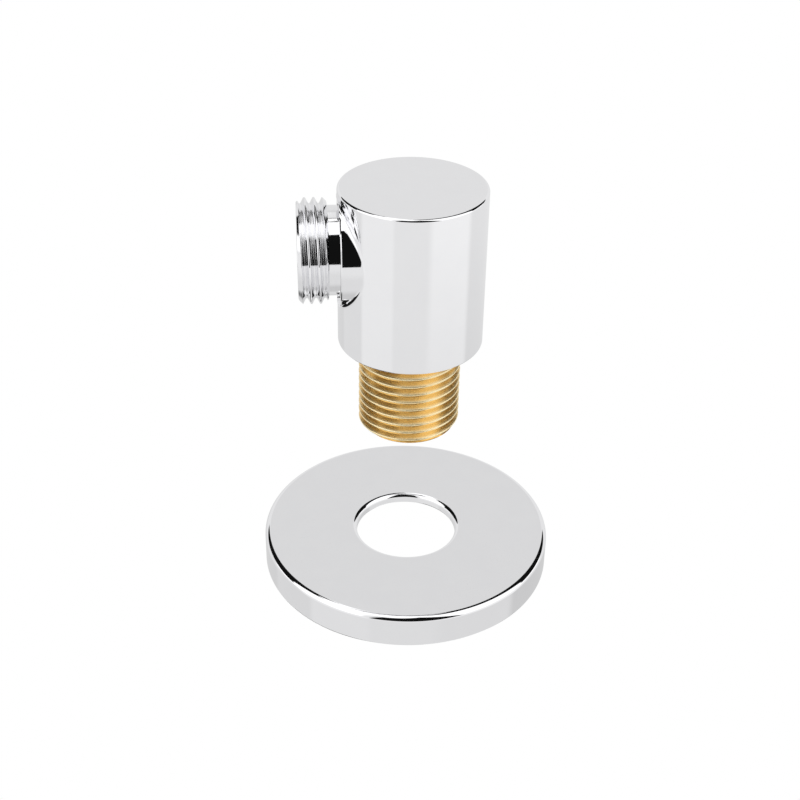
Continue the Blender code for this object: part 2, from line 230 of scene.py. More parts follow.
def along_outlet(bm):
    """Lay a piece made about +Z along the outlet's axis, with the normals on its corners."""
    turned = ON_OUTLET.to_3x3()
    facing = bm.loops.layers.float_vector[FACING]
    bm.transform(ON_OUTLET)
    for face in bm.faces:
        for loop in face.loops:
            loop[facing] = turned @ loop[facing]
    return bm


def plain_object(name, bm):
    """A closed mesh object whose faces point out."""
    bmesh.ops.remove_doubles(bm, verts=bm.verts, dist=2e-7)
    bmesh.ops.recalc_face_normals(bm, faces=bm.faces)
    mesh = bpy.data.meshes.new(name)
    bm.to_mesh(mesh)
    bm.free()
    made = bpy.data.objects.new(name, mesh)
    bpy.context.scene.collection.objects.link(made)
    return made


def boolean(target, other, operation):
    """Combine two objects. The exact normals of both surfaces are carried over."""
    change = target.modifiers.new(operation, "BOOLEAN")
    change.operation = operation
    change.solver = "EXACT"
    change.object = other
    graph = bpy.context.evaluated_depsgraph_get()
    result = bpy.data.meshes.new_from_object(target.evaluated_get(graph))
    target.modifiers.clear()
    target.data = result
    bpy.data.objects.remove(other)


def use_exact_normals(mesh):
    """Shade the mesh by the normals stored on its corners. A zero keeps Blender's own."""
    mesh.shade_smooth()
    mesh.set_sharp_from_angle(angle=SHARP_ANGLE)
    stored = mesh.attributes[FACING]
    normals = [Vector(value.vector).normalized() for value in stored.data]
    mesh.normals_split_custom_set(normals)
    mesh.attributes.remove(mesh.attributes[FACING])


def use_plain_normals(mesh, angle=SHARP_ANGLE):
    """Drop the stored normals and shade the mesh smooth, with edges sharp past an angle."""
    if FACING in mesh.attributes:
        mesh.attributes.remove(mesh.attributes[FACING])
    mesh.shade_smooth()
    mesh.set_sharp_from_angle(angle=angle)


def finish_piece(made, finish, body, node):
    """Give a piece its material and its place on a body, and hide the node it stands for."""
    if FACING in made.data.attributes:
        use_exact_normals(made.data)
    made.data.materials.clear()
    made.data.materials.append(finish)
    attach(made, body)
    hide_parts(node)


# ---------------------------------------------------------------------- material helpers
class Finish:
    """A node material with a Principled shader, and short calls for what feeds it."""

    def __init__(self, name, colour, roughness, metallic=0.0):
        self.material = bpy.data.materials.new(name)
        self.material.use_nodes = True
        self.tree = self.material.node_tree
        self.shader = self.tree.nodes["Principled BSDF"]
        self.shader.inputs["Base Color"].default_value = (*colour, 1.0)
        self.shader.inputs["Roughness"].default_value = roughness
        self.shader.inputs["Metallic"].default_value = metallic
        self.material.diffuse_color = (*colour, 1.0)
        self.place = self.tree.nodes.new("ShaderNodeTexCoord").outputs["Object"]

    def stretched(self, scale):
        """The place on the object, stretched by a factor for each axis."""
        node = self.tree.nodes.new("ShaderNodeMapping")
        node.inputs["Scale"].default_value = scale
        self.tree.links.new(self.place, node.inputs["Vector"])
        return node.outputs["Vector"]

    def noise(self, scale, detail=3.0, place=None):
        """Noise from 0 to 1, with a scale in waves to the metre."""
        node = self.tree.nodes.new("ShaderNodeTexNoise")
        node.inputs["Scale"].default_value = scale
        node.inputs["Detail"].default_value = detail
        self.tree.links.new(place or self.place, node.inputs["Vector"])
        return node.outputs["Fac"]

    def pores(self, scale):
        """Distance to the nearest cell centre, for foam."""
        node = self.tree.nodes.new("ShaderNodeTexVoronoi")
        node.inputs["Scale"].default_value = scale
        self.tree.links.new(self.place, node.inputs["Vector"])
        return node.outputs["Distance"]

    def spread(self, value, low, high, start=0.35, end=0.65):
        """Map a noise value from start..end to low..high."""
        node = self.tree.nodes.new("ShaderNodeMapRange")
        node.inputs["From Min"].default_value = start
        node.inputs["From Max"].default_value = end
        node.inputs["To Min"].default_value = low
        node.inputs["To Max"].default_value = high
        self.tree.links.new(value, node.inputs["Value"])
        return node.outputs["Result"]

    def from_axis(self, near, far):
        """0 at one distance from the object's Z axis, 1 at another, in metres."""
        length = self.tree.nodes.new("ShaderNodeVectorMath")
        length.operation = "LENGTH"
        self.tree.links.new(self.stretched((1.0, 1.0, 0.0)), length.inputs[0])
        return self.spread(length.outputs["Value"], 0.0, 1.0, near, far)

    def along_x(self, near, far):
        """0 at one place along the object's X axis, 1 at another, in metres."""
        split = self.tree.nodes.new("ShaderNodeSeparateXYZ")
        self.tree.links.new(self.place, split.inputs[0])
        return self.spread(split.outputs["X"], 0.0, 1.0, near, far)

    def times(self, first, second):
        """Product of two values."""
        node = self.tree.nodes.new("ShaderNodeMath")
        node.operation = "MULTIPLY"
        self.tree.links.new(first, node.inputs[0])
        self.tree.links.new(second, node.inputs[1])
        return node.outputs["Value"]

    def colours(self, value, first, second):
        """Set the base colour to a blend of two colours."""
        node = self.tree.nodes.new("ShaderNodeMix")
        node.data_type = "RGBA"
        node.inputs["A"].default_value = (*first, 1.0)
        node.inputs["B"].default_value = (*second, 1.0)
        self.tree.links.new(value, node.inputs["Factor"])
        self.tree.links.new(node.outputs["Result"], self.shader.inputs["Base Color"])

    def roughness(self, value):
        """Let a value drive the roughness."""
        self.tree.links.new(value, self.shader.inputs["Roughness"])

    def bump(self, value, height):
        """Relief of the given height in metres, from a value of 0 to 1."""
        node = self.tree.nodes.new("ShaderNodeBump")
        node.inputs["Strength"].default_value = 1.0
        node.inputs["Distance"].default_value = height
        self.tree.links.new(value, node.inputs["Height"])
        self.tree.links.new(node.outputs["Normal"], self.shader.inputs["Normal"])


def chrome():
    """Mirror chrome: a trace of orange peel and of polishing haze."""
    finish = Finish("chrome_plate", (0.90, 0.90, 0.91), 0.03, 1.0)
    haze = finish.noise(240.0, 4.0)
    finish.roughness(finish.spread(haze, 0.022, 0.05))
    finish.colours(haze, (0.885, 0.885, 0.90), (0.915, 0.915, 0.925))
    finish.bump(finish.noise(700.0, 2.0), 2.0e-7)
    return finish.material


def threaded_chrome():
    """Mirror chrome on the neck. On the thread the tool's marks show under the plating."""
    finish = Finish("chrome_on_thread", (0.90, 0.90, 0.91), 0.04, 1.0)
    marks = finish.noise(1900.0, 3.0, finish.stretched((1.0, 0.05, 0.05)))
    finish.colours(marks, (0.87, 0.87, 0.885), (0.925, 0.925, 0.935))
    finish.roughness(finish.spread(marks, 0.03, 0.08))
    fade = 0.0001
    on_thread = finish.along_x(fade - OUTLET_THREAD_START, -fade - OUTLET_THREAD_START)
    finish.bump(finish.times(marks, on_thread), 1.6e-5)
    return finish.material


def brass():
    """Bare turned brass: painted highlights on the crests, painted shade in the roots, and fine
    cutting marks round the axis.
    """
    finish = Finish("turned_brass", (0.96, 0.62, 0.22), 0.25, 0.7)
    crest = INLET_HIGH.x
    # painted light: the base colour pales to a painted highlight towards the crests and darkens
    # to painted shade in the roots
    height = finish.from_axis(crest - 0.45 * THREAD_DEPTH, crest)
    warmth = finish.spread(finish.noise(260.0, 5.0), 0.75, 1.0)
    finish.colours(finish.times(height, warmth), (1.00, 0.60, 0.16), (1.00, 0.88, 0.56))
    marks = finish.noise(900.0, 3.0, finish.stretched((1.0, 1.0, 14.0)))
    finish.roughness(finish.spread(marks, 0.20, 0.30))
    finish.bump(marks, 1.5e-6)
    return finish.material


def rubber():
    """Moulded black rubber with a dull bloom."""
    finish = Finish("black_rubber", (0.02, 0.02, 0.02), 0.55)
    bloom = finish.noise(1500.0, 4.0)
    finish.colours(bloom, (0.012, 0.012, 0.013), (0.035, 0.035, 0.036))
    finish.roughness(finish.spread(bloom, 0.45, 0.75))
    finish.bump(bloom, 6.0e-6)
    return finish.material


def foam():
    """Dark closed-cell foam."""
    finish = Finish("sealing_foam", (0.06, 0.06, 0.065), 0.95)
    cells = finish.pores(2600.0)
    finish.colours(cells, (0.09, 0.09, 0.095), (0.03, 0.03, 0.032))
    finish.bump(cells, 6.0e-5)
    return finish.material


def acetal(name, dark, light):
    """Moulded acetal: slightly waxy, with a faint flow pattern."""
    finish = Finish(name, light, 0.35)
    flow = finish.noise(500.0, 3.0, finish.stretched((1.0, 2.5, 2.5)))
    finish.colours(flow, dark, light)
    finish.roughness(finish.spread(flow, 0.28, 0.42))
    finish.bump(finish.noise(5000.0, 2.0), 1.5e-6)
    finish.shader.inputs["Subsurface Weight"].default_value = 0.08
    finish.shader.inputs["Subsurface Scale"].default_value = 0.0008
    return finish.material


def steel():
    """Drawn stainless steel with fine lines along the wire."""
    finish = Finish("drawn_steel", (0.62, 0.61, 0.60), 0.25, 1.0)
    lines = finish.noise(2500.0, 3.0, finish.stretched((6.0, 1.0, 1.0)))
    finish.colours(lines, (0.55, 0.54, 0.53), (0.70, 0.69, 0.68))
    finish.roughness(finish.spread(lines, 0.18, 0.36))
    finish.bump(lines, 1.5e-6)
    return finish.material


CHROME = chrome()
THREADED_CHROME = threaded_chrome()
BRASS = brass()
RUBBER = rubber()
FOAM = foam()
WHITE_ACETAL = acetal("white_acetal", (0.74, 0.75, 0.73), (0.84, 0.85, 0.83))
BLUE_ACETAL = acetal("blue_acetal", (0.05, 0.17, 0.40), (0.08, 0.24, 0.50))
STEEL = steel()


# ------------------------------------------------------------------------- elbow's body
PATCH_HALF = 50
PATCH_ROWS = 80
PATCH_RINGS = 14
BOSS_RAW_END = 0.0156


def wall_point(angle, z):
    """Point and normal on the body's wall. The angle is 0 at -X and grows towards -Y."""
    normal = (-math.cos(angle), -math.sin(angle), 0.0)
    return (normal[0] * BODY_RADIUS, normal[1] * BODY_RADIUS, z), normal


def patch_border(low, high):
    """(angle, z) points round the rectangle of wall that the boss stands in."""
    reach = 2 * math.pi * PATCH_HALF / TURNED_STEPS
    across = [reach * (step / PATCH_HALF - 1) for step in range(2 * PATCH_HALF)]
    down = [high + (low - high) * step / PATCH_ROWS for step in range(PATCH_ROWS)]
    border = [(angle, high) for angle in across]
    border += [(reach, z) for z in down]
    border += [(-angle, low) for angle in across]
    border += [(-reach, low + high - z) for z in down]
    return border


def boss_column(border_angle, border_z):
    """Rows from the boss's raw end, over the concave joint, to one border point."""
    turned = math.atan2(border_angle * BODY_RADIUS, border_z - OUTLET_Z)
    boss_normal = Vector((0.0, -math.sin(turned), math.cos(turned)))
    centre_y = -(BOSS_RADIUS + BOSS_JOINT) * math.sin(turned)
    centre_z = OUTLET_Z + (BOSS_RADIUS + BOSS_JOINT) * math.cos(turned)
    centre_x = -math.sqrt((BODY_RADIUS + BOSS_JOINT) ** 2 - centre_y ** 2)
    centre = Vector((centre_x, centre_y, centre_z))
    wall_normal = Vector((centre_x, centre_y, 0.0)).normalized()

    axis_point = Vector((0.0, 0.0, OUTLET_Z))
    raw_end = axis_point + boss_normal * BOSS_RADIUS + Vector((-BOSS_RAW_END, 0.0, 0.0))
    column = [(raw_end, boss_normal)]
    for step in range(ARC_STEPS + 1):
        inward = (-boss_normal).slerp(-wall_normal, step / ARC_STEPS)
        column.append((centre + inward * BOSS_JOINT, -inward))
    joint_angle = math.atan2(-wall_normal.y, -wall_normal.x)
    for ring in range(1, PATCH_RINGS + 1):
        share = ring / PATCH_RINGS
        angle = joint_angle + (border_angle - joint_angle) * share
        column.append(wall_point(angle, centre_z + (border_z - centre_z) * share))
    return column


def body_wall(bm, low, high):
    """The body's side wall with the boss growing out of it."""
    columns = [boss_column(angle, z) for angle, z in patch_border(low, high)]
    rows = [list(row) for row in zip(*columns)]
    add_grid(bm, rows, closed=True)
    raw_end = [(point, (-1, 0, 0)) for point, _normal in rows[0]]
    end_centre = (-BOSS_RAW_END, 0.0, OUTLET_Z)
    add_grid(bm, [raw_end, [(end_centre, (-1, 0, 0))] * len(raw_end)], closed=True)

    step_angle = 2 * math.pi / TURNED_STEPS
    steps = range(PATCH_HALF, TURNED_STEPS - PATCH_HALF + 1)
    levels = [high + (low - high) * row / PATCH_ROWS for row in range(PATCH_ROWS + 1)]
    add_grid(bm, [[wall_point(step * step_angle, z) for step in steps] for z in levels])


def body_casting():
    """Chromed body: round, with a flat top, a spot-faced boss and a bored chamber."""
    high = BODY_TOP - BODY_TOP_EDGE
    low = BODY_BOTTOM_EDGE
    top_centre = (BODY_RADIUS - BODY_TOP_EDGE, high)
    bottom_centre = (BODY_RADIUS - BODY_BOTTOM_EDGE, low)
    body = new_skin()
    body_wall(body, low, high)
    turn(body, [
        straight((0.0, BODY_TOP), (top_centre[0], BODY_TOP)),
        rounded(top_centre, BODY_TOP_EDGE, 90, 0),
        rounded(bottom_centre, BODY_BOTTOM_EDGE, 0, -90),
        straight((bottom_centre[0], 0.0), (SOCKET_RADIUS, 0.0)),
        straight((SOCKET_RADIUS, 0.0), (SOCKET_RADIUS, SOCKET_DEPTH)),
        straight((SOCKET_RADIUS, SOCKET_DEPTH), (WATERWAY_RADIUS, SOCKET_DEPTH)),
        straight((WATERWAY_RADIUS, SOCKET_DEPTH), (WATERWAY_RADIUS, CHAMBER_TOP)),
        straight((WATERWAY_RADIUS, CHAMBER_TOP), (0.0, CHAMBER_TOP)),
    ])
    made = plain_object("body_casting", body)

    far = BOSS_RAW_END + 0.001
    bore_start = 0.001
    relief = 0.0001
    corners = [
        (0.0, far),
        (SPOT_FACE_RADIUS, far),
        (SPOT_FACE_RADIUS, BOSS_END),
        (BOSS_RADIUS + relief, BOSS_END),
        (BOSS_RADIUS + relief, BOSS_END - BOSS_CHAMFER - relief),
        (BOSS_RADIUS - BOSS_CHAMFER, BOSS_END),
        (OUTLET_SOCKET_RADIUS, BOSS_END),
        (OUTLET_SOCKET_RADIUS, OUTLET_SOCKET_FLOOR),
        (OUTLET_BORE_RADIUS, OUTLET_SOCKET_FLOOR),
        (OUTLET_BORE_RADIUS, bore_start),
        (0.0, bore_start),
    ]
    strokes = [straight(start, end) for start, end in zip(corners, corners[1:])]
    cut = [[(r, z, -nr, -nz) for r, z, nr, nz in stroke] for stroke in strokes]
    bore = plain_object("outlet_bore", along_outlet(turn(new_skin(), cut)))
    boolean(made, bore, "DIFFERENCE")
    finish_piece(made, CHROME, "elbow", "elbow_body")


# ----------------------------------------------------------------------- threaded nipples
def thread_drop(turns):
    """How far the rounded thread lies below its crest, for a count of turns."""
    away = abs(turns - round(turns)) * THREAD_PITCH
    arc_half = THREAD_ROUNDING * math.cos(FLANK_ANGLE)
    from_root = THREAD_PITCH / 2 - away
    if away < arc_half:
        return THREAD_ROUNDING - math.sqrt(THREAD_ROUNDING ** 2 - away ** 2)
    if from_root < arc_half:
        rise = THREAD_ROUNDING - math.sqrt(THREAD_ROUNDING ** 2 - from_root ** 2)
        return THREAD_DEPTH - rise
    arc_drop = THREAD_ROUNDING * (1 - math.sin(FLANK_ANGLE))
    return arc_drop + (away - arc_half) / math.tan(FLANK_ANGLE)


def thread_rows():
    """Turns, within one pitch, at which the thread's mesh has a row."""
    arc_half = THREAD_ROUNDING * math.cos(FLANK_ANGLE) / THREAD_PITCH
    arc_shares = [-1, -0.75, -0.45, -0.15, 0.15, 0.45, 0.75, 1]
    crest = [arc_half * share for share in arc_shares]
    flank = 0.5 - 2 * arc_half
    down = [arc_half + flank * share for share in (0.33, 0.67)]
    root = [0.5 + arc_half * share for share in arc_shares]
    up = [0.5 + arc_half + flank * share for share in (0.33, 0.67)]
    return sorted((turns + 1) % 1 for turns in crest + down + root + up)


def threaded(bm, radius_at, low, high, crest_at):
    """Outside of a threaded length about Z, with a crest at one height on the +X side.

    Returns its two end rings.
    """
    rows = thread_rows()
    first = math.floor((low - crest_at) / THREAD_PITCH) - 2
    last = math.ceil((high - crest_at) / THREAD_PITCH) + 1
    lifts = [whole + row for whole in range(first, last) for row in rows]
    nudge = 1e-5

    def column(angle):
        made = []
        for lift in lifts:
            z = crest_at + (lift + angle / (2 * math.pi)) * THREAD_PITCH
            z = min(high, max(low, z))
            radius = radius_at(angle, z)
            slope = (radius_at(angle, z + nudge) - radius_at(angle, z - nudge)) / (2 * nudge)
            swing = nudge / radius
            lean = (radius_at(angle + swing, z) - radius_at(angle - swing, z)) / (2 * nudge)
            c = math.cos(angle)
            s = math.sin(angle)
            normal = Vector((c + lean * s, s - lean * c, -slope)).normalized()
            made.append(((radius * c, radius * s, z), normal))
        return made

    columns = [column(2 * math.pi * step / THREAD_STEPS) for step in range(THREAD_STEPS + 1)]
    add_grid(bm, [list(row) for row in zip(*columns)][::-1])
    angles = [2 * math.pi * step / THREAD_STEPS for step in range(THREAD_STEPS)]
    rings = []
    for z in (low, high):
        ring = []
        for angle in angles:
            radius = radius_at(angle, z)
            ring.append((radius * math.cos(angle), radius * math.sin(angle), z))
        rings.append(ring)
    return rings


def end_face(bm, ring, radius_at, z, normal):
    """Flat face from a ring of points to a circle or other outline at the same height."""
    inner = []
    for step in range(THREAD_STEPS):
        angle = 2 * math.pi * step / THREAD_STEPS
        radius = radius_at(angle)
        inner.append((radius * math.cos(angle), radius * math.sin(angle), z))
    outer_row = [(point, normal) for point in ring]
    inner_row = [(point, normal) for point in inner]
    add_grid(bm, [outer_row, inner_row], closed=True)
    return inner


def brass_nipple():
    """Brass inlet: G 1/2 thread, hexagon socket in its end, and a plain spigot."""
    crest = INLET_HIGH.x
    low = INLET_LOW.z
    high = INLET_THREAD_TOP
    spigot_top = INLET_HIGH.z
    hex_top = low + HEX_DEPTH
    root = crest - THREAD_DEPTH

    def radius_at(angle, z):
        radius = crest - thread_drop((z - low) / THREAD_PITCH - angle / (2 * math.pi))
        radius = min(radius, crest - INLET_CHAMFER + (z - low))
        return min(radius, root + max(0.0, high - INLET_RELIEF - z) / math.tan(FLANK_ANGLE))

    def hexagon(angle):
        sixth = math.pi / 3
        return HEX_ACROSS_FLATS / 2 / math.cos(angle % sixth - sixth / 2)

    bm = new_skin()
    low_ring, high_ring = threaded(bm, radius_at, low, high, low)
    hex_low = end_face(bm, low_ring, hexagon, low, (0, 0, -1))
    hex_high = [(x, y, hex_top) for x, y, _z in hex_low]
    add_grid(bm, [[(p, None) for p in hex_low], [(p, None) for p in hex_high]], closed=True)
    end_face(bm, hex_high, lambda _angle: WATERWAY_RADIUS, hex_top, (0, 0, -1))
    end_face(bm, high_ring, lambda _angle: INLET_SPIGOT_RADIUS, high, (0, 0, 1))
    edge = 0.0003
    turn(bm, [
        straight((WATERWAY_RADIUS, hex_top), (WATERWAY_RADIUS, spigot_top)),
        straight((WATERWAY_RADIUS, spigot_top), (INLET_SPIGOT_RADIUS - edge, spigot_top)),
        rounded((INLET_SPIGOT_RADIUS - edge, spigot_top - edge), edge, 90, 0),
        straight((INLET_SPIGOT_RADIUS, spigot_top - edge), (INLET_SPIGOT_RADIUS, high)),
    ], THREAD_STEPS)
    made = plain_object("brass_nipple", bm)
    made.visible_glossy = False
    finish_piece(made, BRASS, "elbow", "inlet_nipple")


def hose_nipple():
    """Chromed outlet: plain neck, short G 1/2 thread and the check valve's bore."""
    crest = (OUTLET_HIGH.z - OUTLET_LOW.z) / 2
    low = OUTLET_THREAD_START
    high = -OUTLET_LOW.x
    spigot_end = -OUTLET_HIGH.x
    bore = CARTRIDGE_BORE_RADIUS
    lip = 0.0003
    groove_play = 0.0001
    groove_low = -CLIP_HIGH.x - groove_play
    groove_high = -CLIP_LOW.x + groove_play
    groove_radius = bore + CLIP_GROOVE_DEPTH
    step = spigot_end + SHOULDER

    def radius_at(angle, z):
        turns = (z - OUTLET_CREST) / THREAD_PITCH - angle / (2 * math.pi)
        radius = crest - thread_drop(turns)
        radius = min(radius, crest - OUTLET_CHAMFER_BACK + (z - low))
        return min(radius, crest - OUTLET_CHAMFER_FRONT + (high - z))

    bm = new_skin()
    low_ring, high_ring = threaded(bm, radius_at, low, high, OUTLET_CREST)
    end_face(bm, low_ring, lambda _angle: NECK_RADIUS, low, (0, 0, -1))
    end_face(bm, high_ring, lambda _angle: bore + lip, high, (0, 0, 1))
    turn(bm, [
        straight((NECK_RADIUS, low), (NECK_RADIUS, spigot_end)),
        straight((NECK_RADIUS, spigot_end), (WATERWAY_RADIUS, spigot_end)),
        straight((WATERWAY_RADIUS, spigot_end), (WATERWAY_RADIUS, step)),
        straight((WATERWAY_RADIUS, step), (bore, step)),
        straight((bore, step), (bore, groove_low)),
        straight((bore, groove_low), (groove_radius, groove_low)),
        straight((groove_radius, groove_low), (groove_radius, groove_high)),
        straight((groove_radius, groove_high), (bore, groove_high)),
        straight((bore, groove_high), (bore, high - lip)),
        rounded((bore + lip, high - lip), lip, 180, 90),
    ], THREAD_STEPS)
    made = plain_object("hose_nipple", along_outlet(bm))
    finish_piece(made, THREADED_CHROME, "elbow", "outlet_nipple")


# ---------------------------------------------------------------------------- check valve
def seal_ring(name, node, body, major, wire, across, on_outlet=True):
    """Rubber O-ring: a turned circle of the wire's radius."""
    bm = turn(new_skin(), [rounded((major, across), wire, 360, 0, 28)], 160)
    if on_outlet:
        along_outlet(bm)
    finish_piece(plain_object(name, bm), RUBBER, body, node)


def seal_rings():
    """The four O-rings, where the model has them."""
    for name, node, body in (
        ("outlet_seal_ring", "outlet_o_ring", "elbow"),
        ("sleeve_seal_ring", "check_valve_o_ring", "elbow"),
        ("poppet_seal_ring", "poppet_seal", "poppet"),
    ):
        low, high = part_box(node)
        wire = (high.x - low.x) / 2
        seal_ring(name, node, body, (high.z - low.z) / 2 - wire, wire, -(low.x + high.x) / 2)
    low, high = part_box("inlet_o_ring")
    wire = (high.z - low.z) / 2
    middle = (low.z + high.z) / 2
    seal_ring("inlet_seal_ring", "inlet_o_ring", "elbow", high.x - wire, wire, middle, False)


VALVE_STEPS = 144
GROOVE_START = 0.0102
GROOVE_END = 0.0115
GROOVE_RADIUS = 0.00635
SEAT_RADIUS = 0.0044
SEAT_START = 0.0104
SEAT_END = 0.0114
SLEEVE_WALL_RADIUS = 0.0056
CAGE_LEDGE = 0.0169
CAGE_POCKET_RADIUS = 0.0061
HUB_START = 0.0166
HUB_RADIUS = 0.0019
CAGE_ARMS = 3
ARM_WIDTH = 0.0011
STEM_RADIUS = 0.0008
DISC_START = 0.01195
DISC_END = 0.0127
DISC_RADIUS = 0.0050
NOSE_RADIUS = 0.0037
SPRING_RADIUS = 0.0015
SPRING_WIRE = 0.00018
SPRING_TURNS = 3.25


def valve_sleeve():
    """White sleeve of the check valve, with its seat, groove and pocket."""
    start = -HOUSING_HIGH.x
    end = -HOUSING_LOW.x
    outer = (HOUSING_HIGH.z - HOUSING_LOW.z) / 2
    corners = [
        (outer, end),
        (outer, GROOVE_END),
        (GROOVE_RADIUS, GROOVE_END),
        (GROOVE_RADIUS, GROOVE_START),
        (outer, GROOVE_START),
        (outer, start),
        (SEAT_RADIUS, start),
        (SEAT_RADIUS, SEAT_START),
        (SLEEVE_WALL_RADIUS, SEAT_END),
        (SLEEVE_WALL_RADIUS, CAGE_LEDGE),
        (CAGE_POCKET_RADIUS, CAGE_LEDGE),
        (CAGE_POCKET_RADIUS, end),
    ]
    bm = turn(new_skin(), outline(corners, 0.00012), VALVE_STEPS)
    made = plain_object("valve_sleeve", along_outlet(bm))
    finish_piece(made, WHITE_ACETAL, "elbow", "check_valve_housing")


def valve_guide():
    """Blue spoked guide for the poppet's stem."""
    low = -CAGE_HIGH.x
    high = -CAGE_LOW.x
    rim = (CAGE_HIGH.z - CAGE_LOW.z) / 2
    rim_low = CAGE_LEDGE + 0.0002
    rim_inside = rim - 0.0010
    hole = STEM_RADIUS + 0.0002
    rim_corners = [(rim, high), (rim, rim_low), (rim_inside, rim_low), (rim_inside, high)]
    hub_corners = [(HUB_RADIUS, high), (HUB_RADIUS, low), (hole, low), (hole, high)]
    rim_skin = turn(new_skin(), outline(rim_corners, 0.00012), VALVE_STEPS)
    hub_skin = turn(new_skin(), outline(hub_corners, 0.00015), VALVE_STEPS)
    made = plain_object("valve_guide", rim_skin)
    boolean(made, plain_object("hub", hub_skin), "UNION")

    inside = (hole + HUB_RADIUS) / 2
    outside = (rim + rim_inside) / 2
    for number in range(CAGE_ARMS):
        bm = new_skin()
        bmesh.ops.create_cube(bm, size=1.0)
        arm_size = (outside - inside, ARM_WIDTH, high - rim_low - 0.0002)
        bmesh.ops.scale(bm, vec=arm_size, verts=bm.verts)
        bmesh.ops.bevel(
            bm, geom=bm.edges[:], offset=0.00015, segments=4, profile=0.5, affect="EDGES"
        )
        middle = ((outside + inside) / 2, 0.0, (rim_low + high) / 2)
        bmesh.ops.translate(bm, vec=middle, verts=bm.verts)
        around = Matrix.Rotation(2 * math.pi * number / CAGE_ARMS, 3, "Z")
        bmesh.ops.rotate(bm, cent=(0, 0, 0), matrix=around, verts=bm.verts)
        boolean(made, plain_object("arm", bm), "UNION")
    made.data.transform(ON_OUTLET)
    use_plain_normals(made.data)
    finish_piece(made, BLUE_ACETAL, "elbow", "check_valve_cage")


def valve_poppet():
    """Blue poppet: blunt nose, disc and stem."""
    nose = -POPPET_HIGH.x
    stem_end = -POPPET_LOW.x
    edge = 0.0002
    neck = 0.0004
    nose_edge = 0.0012
    bm = turn(new_skin(), [
        straight((0.0, stem_end), (STEM_RADIUS - edge, stem_end)),
        rounded((STEM_RADIUS - edge, stem_end - edge), edge, 90, 0),
        straight((STEM_RADIUS, stem_end - edge), (STEM_RADIUS, DISC_END + neck)),
        rounded((STEM_RADIUS + neck, DISC_END + neck), neck, 180, 270),
        straight((STEM_RADIUS + neck, DISC_END), (DISC_RADIUS - edge, DISC_END)),
        rounded((DISC_RADIUS - edge, DISC_END - edge), edge, 90, 0),
        straight((DISC_RADIUS, DISC_END - edge), (DISC_RADIUS, DISC_START)),
        straight((DISC_RADIUS, DISC_START), (NOSE_RADIUS, DISC_START)),
        straight((NOSE_RADIUS, DISC_START), (NOSE_RADIUS, nose + nose_edge)),
        rounded((NOSE_RADIUS - nose_edge, nose + nose_edge), nose_edge, 0, -90),
        straight((NOSE_RADIUS - nose_edge, nose), (0.0, nose)),
    ], VALVE_STEPS)
    made = plain_object("valve_poppet", along_outlet(bm))
    finish_piece(made, BLUE_ACETAL, "poppet", "check_valve_poppet")


def swept_tube(bm, path, radius, sides):
    """Round tube along a path of points, closed at both ends."""
    rings = []
    for number, point in enumerate(path):
        ahead = path[min(number + 1, len(path) - 1)] - path[max(number - 1, 0)]
        outward = Vector((point.x, point.y, 0.0)).normalized()
        forward = ahead.normalized()
        side = forward.cross(outward).normalized()
        outward = side.cross(forward)
        ring = []
        for corner in range(sides):
            angle = 2 * math.pi * corner / sides
            ring.append(bm.verts.new(
                point + (outward * math.cos(angle) + side * math.sin(angle)) * radius
            ))
        rings.append(ring)
    for first, second in zip(rings, rings[1:]):
        for corner in range(sides):
            following = (corner + 1) % sides
            bm.faces.new((first[corner], first[following], second[following], second[corner]))
    bm.faces.new(rings[0][::-1])
    bm.faces.new(rings[-1])


def valve_spring():
    """Steel coil spring between the poppet's disc and the guide's hub."""
    low = DISC_END + SPRING_WIRE
    gap = 0.00005
    high = HUB_START - SPRING_WIRE - gap
    closed_share = 0.12
    per_turn = 36
    count = int(SPRING_TURNS * per_turn)
    path = []
    for number in range(count + 1):
        share = number / count
        angle = 2 * math.pi * SPRING_TURNS * share
        rise = min(1.0, max(0.0, (share - closed_share) / (1 - 2 * closed_share)))
        climb = closed_share * share + (1 - closed_share) * rise
        z = low + (high - low) * climb
        path.append(Vector((SPRING_RADIUS * math.cos(angle), SPRING_RADIUS * math.sin(angle), z)))
    bm = new_skin()
    swept_tube(bm, path, SPRING_WIRE, 12)
    made = plain_object("valve_spring", along_outlet(bm))
    use_plain_normals(made.data, WIRE_SHARP_ANGLE)
    finish_piece(made, STEEL, "elbow", "poppet_spring")

    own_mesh(made)


